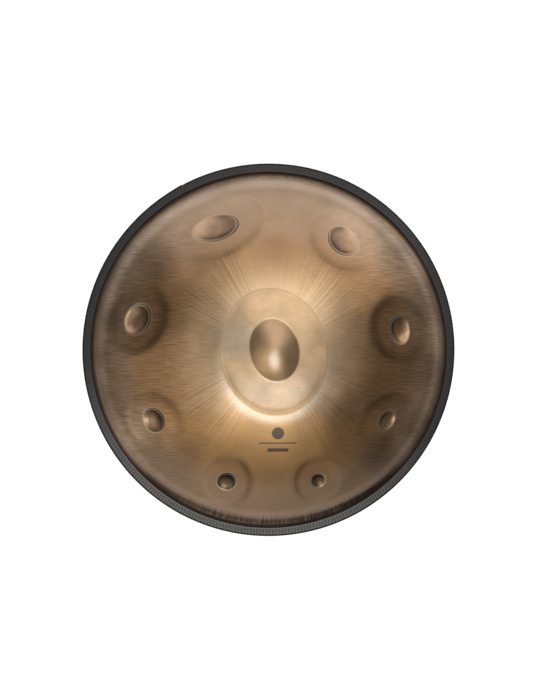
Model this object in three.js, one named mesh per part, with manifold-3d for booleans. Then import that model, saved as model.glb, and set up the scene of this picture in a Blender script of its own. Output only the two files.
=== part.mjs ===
// Handpan: two domed steel shells glued flange to flange, the upper one hammered into nine tone fields, with
// a ribbed edge trim clipped over the joined flanges. Millimetres, +Z up along the axis of the instrument.
// The origin is the middle of the flat ring round the sound port, which the instrument rests on.
import * as THREE from 'three';
import { mergeVertices } from 'three/addons/utils/BufferGeometryUtils.js';
import Module from 'manifold-3d';

const wasm = await Module();
wasm.setup();

// Clearance left between neighbouring pieces
const GAP = 0.3;

// Shells
const SHEET = 1.2;               // steel thickness
const DOME_FOOT_RADIUS = 254.6;  // where the flat flange turns up into the root fillet
const ROOT_FILLET = 11;          // outside radius of the fillet between flange and dome
const TOP_RISE = 106;            // from the flange to the dome's pole, before hammering
const BOTTOM_RISE = 106;
const SHELL_SEGMENTS = 48;       // round the axis
const DOME_STEPS = 11;           // along the dome's arc
const FILLET_STEPS = 3;

// Glue line between the flanges
const GLUE = 0.4;
const GLUE_INNER_RADIUS = 255.5;

// Sound port in the bottom shell
const PORT_RADIUS = 52;          // bore of the neck
const PORT_BEND = 9;             // outside radius of the turned edge
const PORT_NECK = 24;            // height of the neck above the resting ring
const REST_RING_RADIUS = 74;     // outer edge of the flat ring round the port

// Every note is a flattened oval field with an oval dimple or dome in it. Sizes are half-axes; turns are in
// degrees. Flattening is the share of the dome's curvature that hammering takes out of a field.
const DING_FLATTENING = 0.5;
const RING_FLATTENING = 0.75;

// Centre note, whose turn and tilt are measured from +X
const DING = { field: [88, 73.5], turn: 99 };
const DING_DOME = { x: 0.9, y: 2.4, half: [43.6, 33.6], tilt: 100.7, height: 16 };

// The eight notes of the ring. A field's turn and a dimple's tilt are measured from the circle round the
// axis, leaning outwards.
const RING_NOTES = [
  { radius: 190.2, angle: 114.3, field: [72, 52], turn: 4, dimple: [34.6, 22.6], tilt: 12, depth: 3.8 },
  { radius: 185.3, angle: 56.8, field: [52, 49], turn: -10, dimple: [25.2, 23.9], tilt: 20, depth: 4.0 },
  { radius: 193.7, angle: 166.8, field: [54, 47], turn: 36, dimple: [25.0, 21.4], tilt: 37, depth: 5.6 },
  { radius: 184.2, angle: 9.4, field: [53, 48], turn: 110, dimple: [21.3, 19.0], tilt: -2, depth: 5.2 },
  { radius: 192.1, angle: 210.4, field: [46, 43], turn: 118, dimple: [19.0, 17.8], tilt: 36, depth: 4.8 },
  { radius: 191.2, angle: 329.0, field: [48, 41], turn: 37, dimple: [16.4, 14.7], tilt: 3, depth: 4.2 },
  { radius: 194.9, angle: 251.0, field: [44, 36], turn: 88, dimple: [16.4, 13.8], tilt: 94, depth: 4.5 },
  { radius: 195.0, angle: 289.8, field: [41, 35], turn: 85, dimple: [12.8, 10.4], tilt: 90, depth: 3.8 },
];
const BALL_LIFT = 0.5;           // height of a bowl's ball over its rim, as a share of its half-height
const BOWL_SEGMENTS = 16;
const BOWL_STEPS = 12;

// Edge trim: a rubber U section, moulded round a steel carrier and bent into a ring with a butt joint
const TRIM_RADIUS = 267.5;       // outside of the trim, the widest place of the instrument
const TRIM_TIP_RADIUS = 254.9;   // edge of its legs
const TRIM_SKIN = 1.0;           // rubber outside the carrier
const TRIM_LINING = 0.7;         // rubber between the carrier and the flanges
const TRIM_CORNER = 1.4;         // rounding of the outside corners
const TRIM_TIP_CORNER = 0.9;
const CARRIER = 0.5;             // thickness of the carrier's steel
const CARRIER_EDGE = 1.2;        // rubber past the carrier at the edge of the legs
const EDGE_PLAY = 0.8;           // between the flanges' edge and the bottom of the trim's slot
const TRIM_STEPS = 60;
const CORNER_STEPS = 1;
const JOINT_ANGLE = 118;         // where the strip's ends meet, in degrees from +X
const JOINT_GAP = 0.4;

// Worked out from the above
const carrierRoom = CARRIER + 2 * GAP;
const slotEnd = TRIM_RADIUS - TRIM_SKIN - carrierRoom - TRIM_LINING;
const flangeRadius = slotEnd - EDGE_PLAY;
const stackHalf = GLUE / 2 + GAP + SHEET;          // from the seam's middle plane to the outside of a flange
const slotHalf = stackHalf + GAP;
const trimHalf = slotHalf + TRIM_LINING + carrierRoom + TRIM_SKIN;
const sphereRadius = (rise) => DOME_FOOT_RADIUS ** 2 / (2 * rise) + rise / 2 - ROOT_FILLET;
const bottomSphere = sphereRadius(BOTTOM_RISE);
const restHeight = Math.sqrt(bottomSphere ** 2 - REST_RING_RADIUS ** 2) - (bottomSphere - BOTTOM_RISE);
const seamHeight = stackHalf + restHeight;         // the seam's middle plane over the resting ring

const SAME_POINT = 1e-4;         // points closer than this are one point
const radians = THREE.MathUtils.degToRad;
const point = (x, y) => new THREE.Vector2(x, y);

// Points of an arc from one angle to another, both ends included
function arc(x, y, radius, from, to, steps) {
  const points = [];
  for (let i = 0; i <= steps; i += 1) {
    const a = from + ((to - from) * i) / steps;
    points.push(point(x + radius * Math.cos(a), y + radius * Math.sin(a)));
  }
  return points;
}

function toSolid(geometry) {
  const bare = geometry.clone();
  bare.deleteAttribute('normal');
  bare.deleteAttribute('uv');
  const merged = mergeVertices(bare, SAME_POINT);
  const vertProperties = new Float32Array(merged.attributes.position.array);
  const triVerts = new Uint32Array(merged.index.array);
  return new wasm.Manifold(new wasm.Mesh({ numProp: 3, vertProperties, triVerts }));
}

function toGeometry(solid) {
  const mesh = solid.getMesh();
  const geometry = new THREE.BufferGeometry();
  geometry.setAttribute('position', new THREE.BufferAttribute(mesh.vertProperties, mesh.numProp));
  geometry.setIndex(new THREE.BufferAttribute(mesh.triVerts, 1));
  geometry.computeVertexNormals();
  return geometry;
}

// A profile in the (radius, height) half-plane, running anticlockwise, turned round +Z
function turned(profile) {
  const geometry = new THREE.LatheGeometry(profile, SHELL_SEGMENTS);
  geometry.rotateX(Math.PI / 2);
  return geometry;
}

// How far a flattened oval sinks below the dome at a place in it
function ovalDrop(u, v, [long, short], turn, flattening, sphere) {
  const cos = Math.cos(radians(turn));
  const sin = Math.sin(radians(turn));
  const share = ((u * cos + v * sin) / long) ** 2 + ((v * cos - u * sin) / short) ** 2;
  const full = (flattening * long * short) / (2 * sphere);
  return full * Math.max(0, 1 - share);
}

// How far the notes' fields sink the dome below its sphere at (x, y)
function fieldDrop(x, y, sphere) {
  let drop = ovalDrop(x, y, DING.field, DING.turn, DING_FLATTENING, sphere);
  for (const note of RING_NOTES) {
    const a = radians(note.angle);
    const along = y * Math.cos(a) - x * Math.sin(a);
    const reach = x * Math.cos(a) + y * Math.sin(a);
    const outward = sphere * (Math.asin(reach / sphere) - Math.asin(note.radius / sphere));
    drop += ovalDrop(along, outward, note.field, note.turn, RING_FLATTENING, sphere);
  }
  return drop;
}

// A flat ball that meets the plane z = 0 in the given oval and reaches the given depth below it
function bowl([long, short], depth, grow) {
  const halfHeight = depth / (1 - BALL_LIFT);
  const stretch = 1 / Math.sqrt(1 - BALL_LIFT ** 2);
  const ball = new THREE.SphereGeometry(1, BOWL_SEGMENTS, BOWL_STEPS);
  ball.rotateX(Math.PI / 2);
  ball.scale(long * stretch + grow, short * stretch + grow, halfHeight + grow);
  ball.translate(0, 0, halfHeight * BALL_LIFT);
  return ball;
}

function dimpleCutter(note, sphere, centre, grow) {
  const lean = Math.asin(note.radius / sphere);
  const a = radians(note.angle);
  const drop = fieldDrop(note.radius * Math.cos(a), note.radius * Math.sin(a), sphere);
  const cutter = bowl(note.dimple, note.depth, grow);
  cutter.rotateZ(Math.PI / 2 - radians(note.tilt)); // along the circle is +Y and outwards is +X
  cutter.rotateY(lean);
  cutter.translate(note.radius, 0, centre + sphere * Math.cos(lean) - drop);
  cutter.rotateZ(a);
  return toSolid(cutter);
}

function dingDome(sphere, centre, grow) {
  const dome = bowl(DING_DOME.half, DING_DOME.height, grow);
  dome.rotateX(Math.PI);
  dome.rotateZ(radians(DING_DOME.tilt));
  dome.translate(DING_DOME.x, DING_DOME.y, centre + sphere - fieldDrop(DING_DOME.x, DING_DOME.y, sphere));
  return toSolid(dome);
}

// Fillet and dome from the flange up, with the flange's outer face at height 0. The sheet's inner face lies
// inset inside it.
function domeOutline(rise, inset, stopAngle) {
  const sphere = sphereRadius(rise);
  const centre = rise - sphere;
  const lean = Math.atan2(ROOT_FILLET - centre, DOME_FOOT_RADIUS);
  return [
    ...arc(DOME_FOOT_RADIUS, ROOT_FILLET, ROOT_FILLET + inset, -Math.PI / 2, lean - Math.PI, FILLET_STEPS),
    ...arc(0, centre, sphere - inset, lean, stopAngle, DOME_STEPS).slice(1),
  ];
}

// The space under one face of the top shell as a full solid that stands on the given base profile
function hammeredDome(base, inset) {
  const sphere = sphereRadius(TOP_RISE);
  const centre = TOP_RISE - sphere;
  const outline = domeOutline(TOP_RISE, inset, Math.PI / 2);
  outline.pop();
  const geometry = turned([...base, ...outline, point(0, centre + sphere - inset)]);
  const place = geometry.attributes.position;
  for (let i = 0; i < place.count; i += 1) {
    const height = place.getZ(i);
    if (height > 0) place.setZ(i, height - fieldDrop(place.getX(i), place.getY(i), sphere));
  }
  let solid = toSolid(geometry).add(dingDome(sphere, centre, -inset));
  for (const note of RING_NOTES) solid = solid.subtract(dimpleCutter(note, sphere, centre, inset));
  return solid;
}

function topShell() {
  const floor = -2 * SHEET;                        // under the flange, so that the cut goes right through it
  const outside = hammeredDome([point(0, -SHEET), point(flangeRadius, -SHEET), point(flangeRadius, 0)], 0);
  const inside = hammeredDome([point(0, floor), point(DOME_FOOT_RADIUS, floor)], SHEET);
  const geometry = toGeometry(outside.subtract(inside));
  geometry.translate(0, 0, seamHeight + stackHalf);
  return geometry;
}

// One face of the bottom shell, drawn upside down: fillet, dome, resting ring and the neck turned inwards
function bottomOutline(inset) {
  const centre = BOTTOM_RISE - bottomSphere;
  const stop = Math.asin((restHeight - inset - centre) / (bottomSphere - inset));
  const bendRadius = PORT_RADIUS + PORT_BEND;
  return [
    ...domeOutline(BOTTOM_RISE, inset, stop),
    ...arc(bendRadius, restHeight - PORT_BEND, PORT_BEND - inset, Math.PI / 2, Math.PI, FILLET_STEPS),
    point(PORT_RADIUS + inset, restHeight - PORT_NECK),
  ];
}

function bottomShell() {
  const edge = [point(flangeRadius, -SHEET), point(flangeRadius, 0)];
  const profile = [...edge, ...bottomOutline(0), ...bottomOutline(SHEET).reverse()];
  const geometry = turned([...profile, edge[0].clone()]);
  geometry.rotateX(Math.PI);
  geometry.translate(0, 0, seamHeight - stackHalf);
  return toGeometry(toSolid(geometry));
}

function flangeAdhesive() {
  const half = GLUE / 2;
  const outer = flangeRadius - GAP;
  const corners = [[GLUE_INNER_RADIUS, -half], [outer, -half], [outer, half], [GLUE_INNER_RADIUS, half]];
  const profile = corners.map(([r, z]) => point(r, z));
  const geometry = turned([...profile, profile[0].clone()]);
  geometry.translate(0, 0, seamHeight);
  return toGeometry(toSolid(geometry));
}

// The strip's path: the circle in the seam's middle plane, less the joint
class RimPath extends THREE.Curve {
  getPoint(t, target = new THREE.Vector3()) {
    const open = JOINT_GAP / TRIM_RADIUS;
    const a = radians(JOINT_ANGLE) + open / 2 + t * (2 * Math.PI - open);
    return target.set(TRIM_RADIUS * Math.cos(a), TRIM_RADIUS * Math.sin(a), seamHeight);
  }
}

// A section drawn as (radius, height over the seam), bent round the rim. The path's plane mirrors it, so the
// outline is reversed to run anticlockwise there; a hole may run either way.
function bentRound(outline, hole) {
  const onPath = ({ x, y }) => point(-y, TRIM_RADIUS - x);
  const shape = new THREE.Shape(outline.map(onPath).reverse());
  if (hole) shape.holes.push(new THREE.Path(hole.map(onPath)));
  const extrudePath = new RimPath();
  const geometry = new THREE.ExtrudeGeometry(shape, { steps: TRIM_STEPS, extrudePath });
  return toGeometry(toSolid(geometry));
}

// A U channel that opens towards the axis, from its inside half-height and the inside radius of its back
function channel(tipRadius, insideHalf, backRadius, thickness) {
  const outsideHalf = insideHalf + thickness;
  const outside = backRadius + thickness;
  return [
    point(tipRadius, -outsideHalf),
    point(outside, -outsideHalf),
    point(outside, outsideHalf),
    point(tipRadius, outsideHalf),
    point(tipRadius, insideHalf),
    point(backRadius, insideHalf),
    point(backRadius, -insideHalf),
    point(tipRadius, -insideHalf),
  ];
}

function edgeTrim() {
  const quarter = Math.PI / 2;
  const corner = (r, z, radius, from) => arc(r, z, radius, from, from + quarter, CORNER_STEPS);
  const tipCentre = TRIM_TIP_RADIUS + TRIM_TIP_CORNER;
  const tipHeight = trimHalf - TRIM_TIP_CORNER;
  const backCentre = TRIM_RADIUS - TRIM_CORNER;
  const backHeight = trimHalf - TRIM_CORNER;
  const outline = [
    ...corner(tipCentre, -tipHeight, TRIM_TIP_CORNER, Math.PI),
    ...corner(backCentre, -backHeight, TRIM_CORNER, -quarter),
    ...corner(backCentre, backHeight, TRIM_CORNER, 0),
    ...corner(tipCentre, tipHeight, TRIM_TIP_CORNER, quarter),
    point(TRIM_TIP_RADIUS, slotHalf),
    point(slotEnd, slotHalf),
    point(slotEnd, -slotHalf),
    point(TRIM_TIP_RADIUS, -slotHalf),
  ];
  const room = channel(
    TRIM_TIP_RADIUS + CARRIER_EDGE,
    slotHalf + TRIM_LINING,
    slotEnd + TRIM_LINING,
    carrierRoom,
  );
  return bentRound(outline, room);
}

function trimCarrier() {
  const tip = TRIM_TIP_RADIUS + CARRIER_EDGE + GAP;
  return bentRound(channel(tip, slotHalf + TRIM_LINING + GAP, slotEnd + TRIM_LINING + GAP, CARRIER));
}

const finish = (color, roughness, metalness) =>
  new THREE.MeshStandardMaterial({ color, roughness, metalness });
const bronzedSteel = () => finish(0xb08a5c, 0.38, 1);
const bareSteel = () => finish(0x9a9ca0, 0.45, 1);
const blackRubber = () => finish(0x2b2b2d, 0.6, 0);
const curedGlue = () => finish(0x3a3632, 0.5, 0);

function piece(name, geometry, material) {
  const mesh = new THREE.Mesh(geometry, material);
  mesh.name = name;
  return mesh;
}

const handpan = new THREE.Group();
handpan.add(
  piece('top_shell', topShell(), bronzedSteel()),
  piece('bottom_shell', bottomShell(), bronzedSteel()),
  piece('flange_adhesive', flangeAdhesive(), curedGlue()),
  piece('edge_trim', edgeTrim(), blackRubber()),
  piece('trim_carrier', trimCarrier(), bareSteel()),
);

export default handpan;
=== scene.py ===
# Handpan: fine shells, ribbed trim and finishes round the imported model. Metres, +Z up, the frame's own axes.
import math
import random

import bpy
import numpy as np
from mathutils import Matrix, Vector
from mathutils.geometry import delaunay_2d_cdt, tessellate_polygon

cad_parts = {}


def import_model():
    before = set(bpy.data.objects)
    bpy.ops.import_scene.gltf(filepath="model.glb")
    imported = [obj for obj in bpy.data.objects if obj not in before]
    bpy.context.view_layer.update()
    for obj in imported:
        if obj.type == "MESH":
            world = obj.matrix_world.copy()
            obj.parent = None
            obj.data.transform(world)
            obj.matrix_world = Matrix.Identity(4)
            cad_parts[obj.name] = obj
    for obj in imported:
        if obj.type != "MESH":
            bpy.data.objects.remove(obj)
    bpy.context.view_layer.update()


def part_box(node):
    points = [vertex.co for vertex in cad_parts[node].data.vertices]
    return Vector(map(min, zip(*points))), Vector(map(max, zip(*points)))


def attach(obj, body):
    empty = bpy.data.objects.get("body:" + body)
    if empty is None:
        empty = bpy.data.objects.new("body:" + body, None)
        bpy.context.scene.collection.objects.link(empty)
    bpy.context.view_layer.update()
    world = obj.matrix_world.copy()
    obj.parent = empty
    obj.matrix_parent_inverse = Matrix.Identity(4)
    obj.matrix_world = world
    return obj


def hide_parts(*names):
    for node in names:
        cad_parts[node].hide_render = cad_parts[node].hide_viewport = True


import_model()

MM = 0.001

# ------------------------ sizes that the frame gives
flange_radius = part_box("top_shell")[1].x
seam = (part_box("flange_adhesive")[0].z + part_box("flange_adhesive")[1].z) / 2
top_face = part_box("top_shell")[0].z
bottom_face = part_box("bottom_shell")[1].z
trim_low, trim_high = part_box("edge_trim")
trim_half = (trim_high.z - trim_low.z) / 2

# ------------------------ sizes repeated from the design
SHEET = 1.2 * MM
DOME_FOOT = 254.6 * MM
ROOT_FILLET = 11 * MM
RISE = 106 * MM
PORT_RADIUS = 52 * MM
PORT_BEND = 9 * MM
PORT_NECK = 24 * MM
DING_FLATTENING = 0.5
RING_FLATTENING = 0.75
TRIM_RADIUS = 267.5 * MM
TRIM_TIP = 254.9 * MM
JOINT_ANGLE = math.radians(118)
JOINT_GAP = 0.4 * MM
GLUE_INNER = 255.5 * MM

SPHERE = DOME_FOOT**2 / (2 * RISE) + RISE / 2 - ROOT_FILLET
CENTRE = RISE - SPHERE
DOME_EDGE = DOME_FOOT * SPHERE / (SPHERE + ROOT_FILLET)


class Note:
    """An oval field with an oval bowl in it, placed by its distance from the axis and its angle. Each oval has
    two half-axes and a turn, measured from the circle round the axis. A positive height is a dome, a negative
    one a dimple. The soft factor rounds a dimple's edges more. Sizes are in millimetres and degrees."""

    def __init__(self, radius, angle, field, field_turn, bowl, turn, height, bowl_shift=(0, 0), soft=1):
        self.radius = radius * MM
        self.angle = math.radians(angle)
        self.field = (field[0] * MM, field[1] * MM)
        self.field_turn = math.radians(field_turn)
        self.bowl = (bowl[0] * MM, bowl[1] * MM)
        self.turn = math.radians(turn)
        self.height = height * MM
        self.soft = soft
        self.shift = (bowl_shift[0] * MM, bowl_shift[1] * MM)

    def local(self, x, y):
        """Distances round the axis and outwards along the dome, from the middle of the note."""
        along = y * math.cos(self.angle) - x * math.sin(self.angle)
        reach = x * math.cos(self.angle) + y * math.sin(self.angle)
        lean = np.arcsin(np.clip(reach / SPHERE, -1, 1))
        return along, SPHERE * (lean - math.asin(self.radius / SPHERE))

    def world(self, along, outward):
        reach = SPHERE * np.sin(math.asin(self.radius / SPHERE) + outward / SPHERE)
        x = reach * math.cos(self.angle) - along * math.sin(self.angle)
        y = reach * math.sin(self.angle) + along * math.cos(self.angle)
        return x, y

    def field_share(self, x, y):
        return oval_share(*self.local(x, y), self.field, self.field_turn)

    def bowl_share(self, x, y):
        u, v = self.local(x, y)
        return oval_share(u - self.shift[0], v - self.shift[1], self.bowl, self.turn)

    def inner_share(self, x, y):
        """The same for the deeper dish inside a dimple, which nearly touches the dimple's outward side."""
        u, v = self.local(x, y)
        outward = math.hypot(self.bowl[0] * math.sin(self.turn), self.bowl[1] * math.cos(self.turn))
        half = (self.bowl[0] * INNER_DISH, self.bowl[1] * INNER_DISH)
        return oval_share(u, v - INNER_SHIFT * (1 - INNER_DISH) * outward, half, self.turn)


def oval_share(u, v, half, turn):
    """Square root of an oval's equation: 0 in its middle and 1 on its edge."""
    p = u * math.cos(turn) + v * math.sin(turn)
    q = v * math.cos(turn) - u * math.sin(turn)
    return np.hypot(p / half[0], q / half[1])


# distance and angle, field and its turn, bowl and its turn, height
DING = Note(0, 90, (88, 73.5), 81, (43.6, 33.6), 79.3, 16, bowl_shift=(-0.9, 2.4))
RING = [
    Note(190.2, 114.3, (72, 52), 4, (34.6, 22.6), 12, -3.8, soft=4),
    Note(185.3, 56.8, (52, 49), -10, (25.2, 23.9), 20, -4.0, soft=4),
    Note(193.7, 166.8, (54, 47), 36, (25.0, 21.4), 37, -5.6),
    Note(184.2, 9.4, (53, 48), 110, (21.3, 19.0), -2, -5.2),
    Note(192.1, 210.4, (46, 43), 118, (19.0, 17.8), 36, -4.8),
    Note(191.2, 329.0, (48, 41), 37, (16.4, 14.7), 3, -4.2),
    Note(194.9, 251.0, (44, 36), 88, (16.4, 13.8), 94, -4.5),
    Note(195.0, 289.8, (41, 35), 85, (12.8, 10.4), 90, -3.8),
]
NOTES = [DING, *RING]


# ------------------------ the hammered dome
def soft_positive(t, width):
    """max(t, 0) with its corner rounded over about the given width."""
    return (t + np.sqrt(t * t + width * width)) / 2


def dent(section, slope, depth, half, fillet):
    """Depth of a bowl. Its section is 1 in the middle and 0 on its oval edge, where it falls with the given
    slope; the edge is rounded to about the fillet radius."""
    width = slope**2 / 2 * abs(depth) * fillet / (half[0] * half[1])
    return depth * soft_positive(section, width)


FIELD_FILLET = 60 * MM
BOWL_FILLET = 3.0 * MM
INNER_DISH = 0.86         # size of the deeper dish in a dimple, as a share of the dimple's
INNER_SHIFT = 0.7         # 1 would put its edge on the dimple's outward side
INNER_STEEPNESS = 2.3
INNER_FILLET = 2.0 * MM
TERRACE_STEEPNESS = 5.0
TERRACE_DEPTH = 0.3       # how deep the terrace between the two edges lies, as a share of the dimple's depth
CONE_TIP = 0.36           # rounding of the middle dome's tip, as a share of its half-axes
CONE_SHARE = 0.5          # how much of the middle dome is a cone; the rest is steeper at the foot


def rounded_cone(share):
    """1 in the middle and 0 on the edge: an even cone with a rounded tip, mixed with a steeper foot."""
    cone = (np.hypot(share, CONE_TIP) - CONE_TIP) / (math.hypot(1, CONE_TIP) - CONE_TIP)
    return 1 - CONE_SHARE * cone - (1 - CONE_SHARE) * share**3


def rise_of(x, y):
    """How far hammering moves the sheet along the plain dome's normal."""
    h = waves(x, y)
    for note in NOTES:
        flattening = DING_FLATTENING if note is DING else RING_FLATTENING
        drop = -flattening * note.field[0] * note.field[1] / (2 * SPHERE)
        h += dent(1 - note.field_share(x, y) ** 2, 2, drop, note.field, FIELD_FILLET)
    h += dent(rounded_cone(DING.bowl_share(x, y)), 2, DING.height, DING.bowl, BOWL_FILLET)
    for note in RING:
        terrace = 1 - note.bowl_share(x, y) ** TERRACE_STEEPNESS
        inner = 1 - note.inner_share(x, y) ** INNER_STEEPNESS
        depth = note.height * TERRACE_DEPTH
        h += dent(terrace, TERRACE_STEEPNESS, depth, note.bowl, note.soft * BOWL_FILLET)
        h += dent(inner, INNER_STEEPNESS, note.height - depth, note.bowl, note.soft * INNER_FILLET)
    return h


WAVES = 28
WAVE_SEED = 7
WAVE_LENGTHS = (22 * MM, 70 * MM)
WAVE_SLOPE = 0.0022
WAVE_FADE = 12 * MM


def waves(x, y):
    """The slight unevenness of hammered sheet, fading out towards the flange."""
    draw = random.Random(WAVE_SEED)
    total = np.zeros_like(x)
    for _ in range(WAVES):
        length = draw.uniform(*WAVE_LENGTHS)
        heading = draw.uniform(0, math.tau)
        phase = draw.uniform(0, math.tau)
        k = math.tau / length
        total += WAVE_SLOPE / k * np.sin(k * (x * math.cos(heading) + y * math.sin(heading)) + phase)
    fade = np.clip((DOME_EDGE - np.hypot(x, y)) / WAVE_FADE, 0, 1)
    return total / math.sqrt(WAVES / 2) * fade * fade * (3 - 2 * fade)


def plain_dome(x, y):
    """Point and unit normal of the unhammered outer face: dome, root fillet, and flange at height 0."""
    r = np.hypot(x, y)
    on_dome = r < DOME_EDGE
    on_flange = r > DOME_FOOT
    reach = np.clip(DOME_FOOT - r, 0, ROOT_FILLET)
    under = np.sqrt(ROOT_FILLET**2 - reach**2)
    dome_z = CENTRE + np.sqrt(np.maximum(SPHERE**2 - r * r, 0))
    z = np.where(on_dome, dome_z, np.where(on_flange, 0, ROOT_FILLET - under))
    slope = np.where(on_dome, r / SPHERE, np.where(on_flange, 0, reach / ROOT_FILLET))
    r_safe = np.maximum(r, 1e-9)
    n = np.stack([x / r_safe * slope, y / r_safe * slope, np.sqrt(1 - slope * slope)], -1)
    return np.stack([x, y, z], -1), n


def hammered(x, y):
    """Points of the outer face, over the flange."""
    p, n = plain_dome(x, y)
    return p + n * rise_of(x, y)[:, None]


def hammered_normals(x, y):
    step = 0.005 * MM
    along_x = hammered(x + step, y) - hammered(x - step, y)
    along_y = hammered(x, y + step) - hammered(x, y - step)
    n = np.cross(along_x, along_y)
    return n / np.linalg.norm(n, axis=1)[:, None]


# ------------------------ meshes
SHARP = math.radians(35)
ARC_STEPS = 12


def new_object(name, data):
    obj = bpy.data.objects.new(name, data)
    bpy.context.scene.collection.objects.link(obj)
    return obj


def new_mesh_object(name, vertices, faces, normals=None, sharp=False):
    """A smooth mesh, with its own normals or with its corners kept sharp where wanted."""
    mesh = bpy.data.meshes.new(name)
    mesh.from_pydata([tuple(v) for v in vertices], [], [tuple(f) for f in faces])
    mesh.validate()
    mesh.shade_smooth()
    if normals is not None:
        mesh.normals_split_custom_set_from_vertices([tuple(n) for n in normals])
    if sharp:
        mesh.set_sharp_from_angle(angle=SHARP)
    return new_object(name, mesh)


RIM_POINTS = 360
ROOT_RINGS = 9
OUTER_MESH = (4 * MM, 0.35 * MM, 180)   # spacing on the plain dome and at a bowl's edge, points round an oval
INNER_MESH = (7 * MM, 1.6 * MM, 40)
FEWEST_POINTS = 6                       # on the smallest oval
FULL_SHARE = 1 / 1.6                    # ovals smaller than this share of the whole get fewer points
SMALLEST_SHARE = 0.06
BOWL_REACH = 1.55                       # how far the fine rings run, as a share of the bowl
BOWL_SPACING = 1.8
RING_GROWTH = 1.12
FIELD_BAND = (0.86, 1.12)               # the same for a field's edge, inside and outside
FIELD_SPACING = 3.2
BOWL_GAP = 0.02                         # room kept free round a bowl's fine rings and a field's band
BAND_GAP = 0.01
EDGE_GAP = 1.5 * MM


def ring_points(radius, count, stagger):
    a = (np.arange(count) + stagger) * math.tau / count
    return np.stack([radius * np.cos(a), radius * np.sin(a)], -1)


def oval_points(note, shares, half, turn, shift, count):
    """Points on ovals about a note's middle, at each share of the given half-axes. Small ovals get fewer."""
    sets = []
    for i, share in enumerate(shares):
        n = max(FEWEST_POINTS, int(count * min(1, share / FULL_SHARE)))
        ring = ring_points(1, n, i % 2 / 2)
        p = ring[:, 0] * half[0] * share
        q = ring[:, 1] * half[1] * share
        u = p * math.cos(turn) - q * math.sin(turn) + shift[0]
        v = p * math.sin(turn) + q * math.cos(turn) + shift[1]
        sets.append(np.stack(note.world(u, v), -1))
    return np.vstack(sets)


def bowl_shares(note, fine):
    """Rings through a bowl, closest together where its edge bends."""
    edge = fine / math.sqrt(note.bowl[0] * note.bowl[1])
    inside = np.arange(1, SMALLEST_SHARE, -BOWL_SPACING * edge)
    outside = 1 + edge * np.cumsum(RING_GROWTH ** np.arange(60))
    return sorted([0.0, *inside, *outside[outside < BOWL_REACH]])


def sheet_points(spacing, fine, around):
    """Points all over one face of the top shell, dense where it bends."""
    kept = []
    for note in NOTES:
        points = oval_points(note, bowl_shares(note, fine), note.bowl, note.turn, note.shift, around)
        kept.append(points)
    for note in NOTES:
        shares = np.arange(*FIELD_BAND, FIELD_SPACING * fine / note.field[1])
        points = oval_points(note, shares, note.field, note.field_turn, (0, 0), around)
        kept.append(points[clear_of_bowls(points)])
    rings = []
    for i, r in enumerate(np.arange(spacing, DOME_EDGE - spacing / 2, spacing)):
        rings.append(ring_points(r, int(math.tau * r / spacing), i % 2 / 2))
    plain = np.vstack(rings)
    kept.append(plain[clear_of_bowls(plain) & clear_of_fields(plain)])
    rim = [*np.linspace(DOME_EDGE, DOME_FOOT, ROOT_RINGS), (DOME_FOOT + flange_radius) / 2, flange_radius]
    for i, r in enumerate(rim):
        kept.append(ring_points(r, RIM_POINTS, 0 if r == flange_radius else i % 2 / 2))
    return np.vstack(kept)


def clear_of_bowls(points):
    """Which points lie on the plain dome, outside the fine rings round every bowl."""
    x, y = points.T
    free = np.hypot(x, y) < DOME_EDGE - EDGE_GAP
    for note in NOTES:
        free &= note.bowl_share(x, y) > BOWL_REACH + BOWL_GAP
    return free


def clear_of_fields(points):
    """Which points lie outside the fine band along every field's edge."""
    free = np.ones(len(points), bool)
    for note in NOTES:
        share = note.field_share(*points.T)
        free &= (share < FIELD_BAND[0] - BAND_GAP) | (share > FIELD_BAND[1] + BAND_GAP)
    return free


def triangulated(points):
    """The points, with any that coincide merged, and the triangles between them."""
    found = delaunay_2d_cdt([Vector(p) for p in points], [], [], 0, 1e-7)
    return np.array([tuple(p) for p in found[0]]), [tuple(f) for f in found[2]]


def rim_of(points):
    """Indices of the points on the flange's edge, in order round it."""
    radius = np.hypot(points[:, 0], points[:, 1])
    on_rim = np.nonzero(radius > flange_radius - 1e-5)[0]
    return on_rim[np.argsort(np.arctan2(points[on_rim, 1], points[on_rim, 0]))]


def top_shell():
    outer, outer_faces = triangulated(sheet_points(*OUTER_MESH))
    inner, inner_faces = triangulated(sheet_points(*INNER_MESH))
    outer_n = hammered_normals(*outer.T)
    inner_n = hammered_normals(*inner.T)
    inner_xyz = hammered(*inner.T) - SHEET * inner_n
    count = len(outer)
    faces = outer_faces + [tuple(count + i for i in reversed(f)) for f in inner_faces]
    upper, lower = rim_of(outer), rim_of(inner) + count
    for k in range(RIM_POINTS):
        faces.append((upper[k - 1], lower[k - 1], lower[k], upper[k]))
    vertices = np.vstack([hammered(*outer.T), inner_xyz]) + [0, 0, top_face + SHEET]
    obj = new_mesh_object("top_shell_hammered", vertices, faces, np.vstack([outer_n, -inner_n]))
    x, y = np.vstack([outer, inner]).T
    for kind, notes in (("ding", [DING]), ("ring", RING)):
        keep_nearest(obj, kind + "_field", [past_edge(note.field_share(x, y), note.field) for note in notes])
        keep_nearest(obj, kind + "_bowl", [past_edge(note.bowl_share(x, y), note.bowl) for note in notes])
    keep_nearest(obj, "ring_dish", [past_edge(note.inner_share(x, y), note.bowl) for note in RING])
    keep_nearest(obj, "ring_side", [bright_side(note, x, y) for note in RING])
    return obj


def past_edge(share, half):
    """About how many millimetres outside an oval's edge a point lies; less than 0 inside it."""
    return (share - 1) * math.sqrt(half[0] * half[1]) / MM


PLAYER_LEAN = 0.8     # how far a bowl's bright side turns from outwards to the player
BESIDE_BOWL = 1.2     # how far out a bowl's side is told, as a share of the bowl
ELSEWHERE = 10.0      # stored on points farther out


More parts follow.
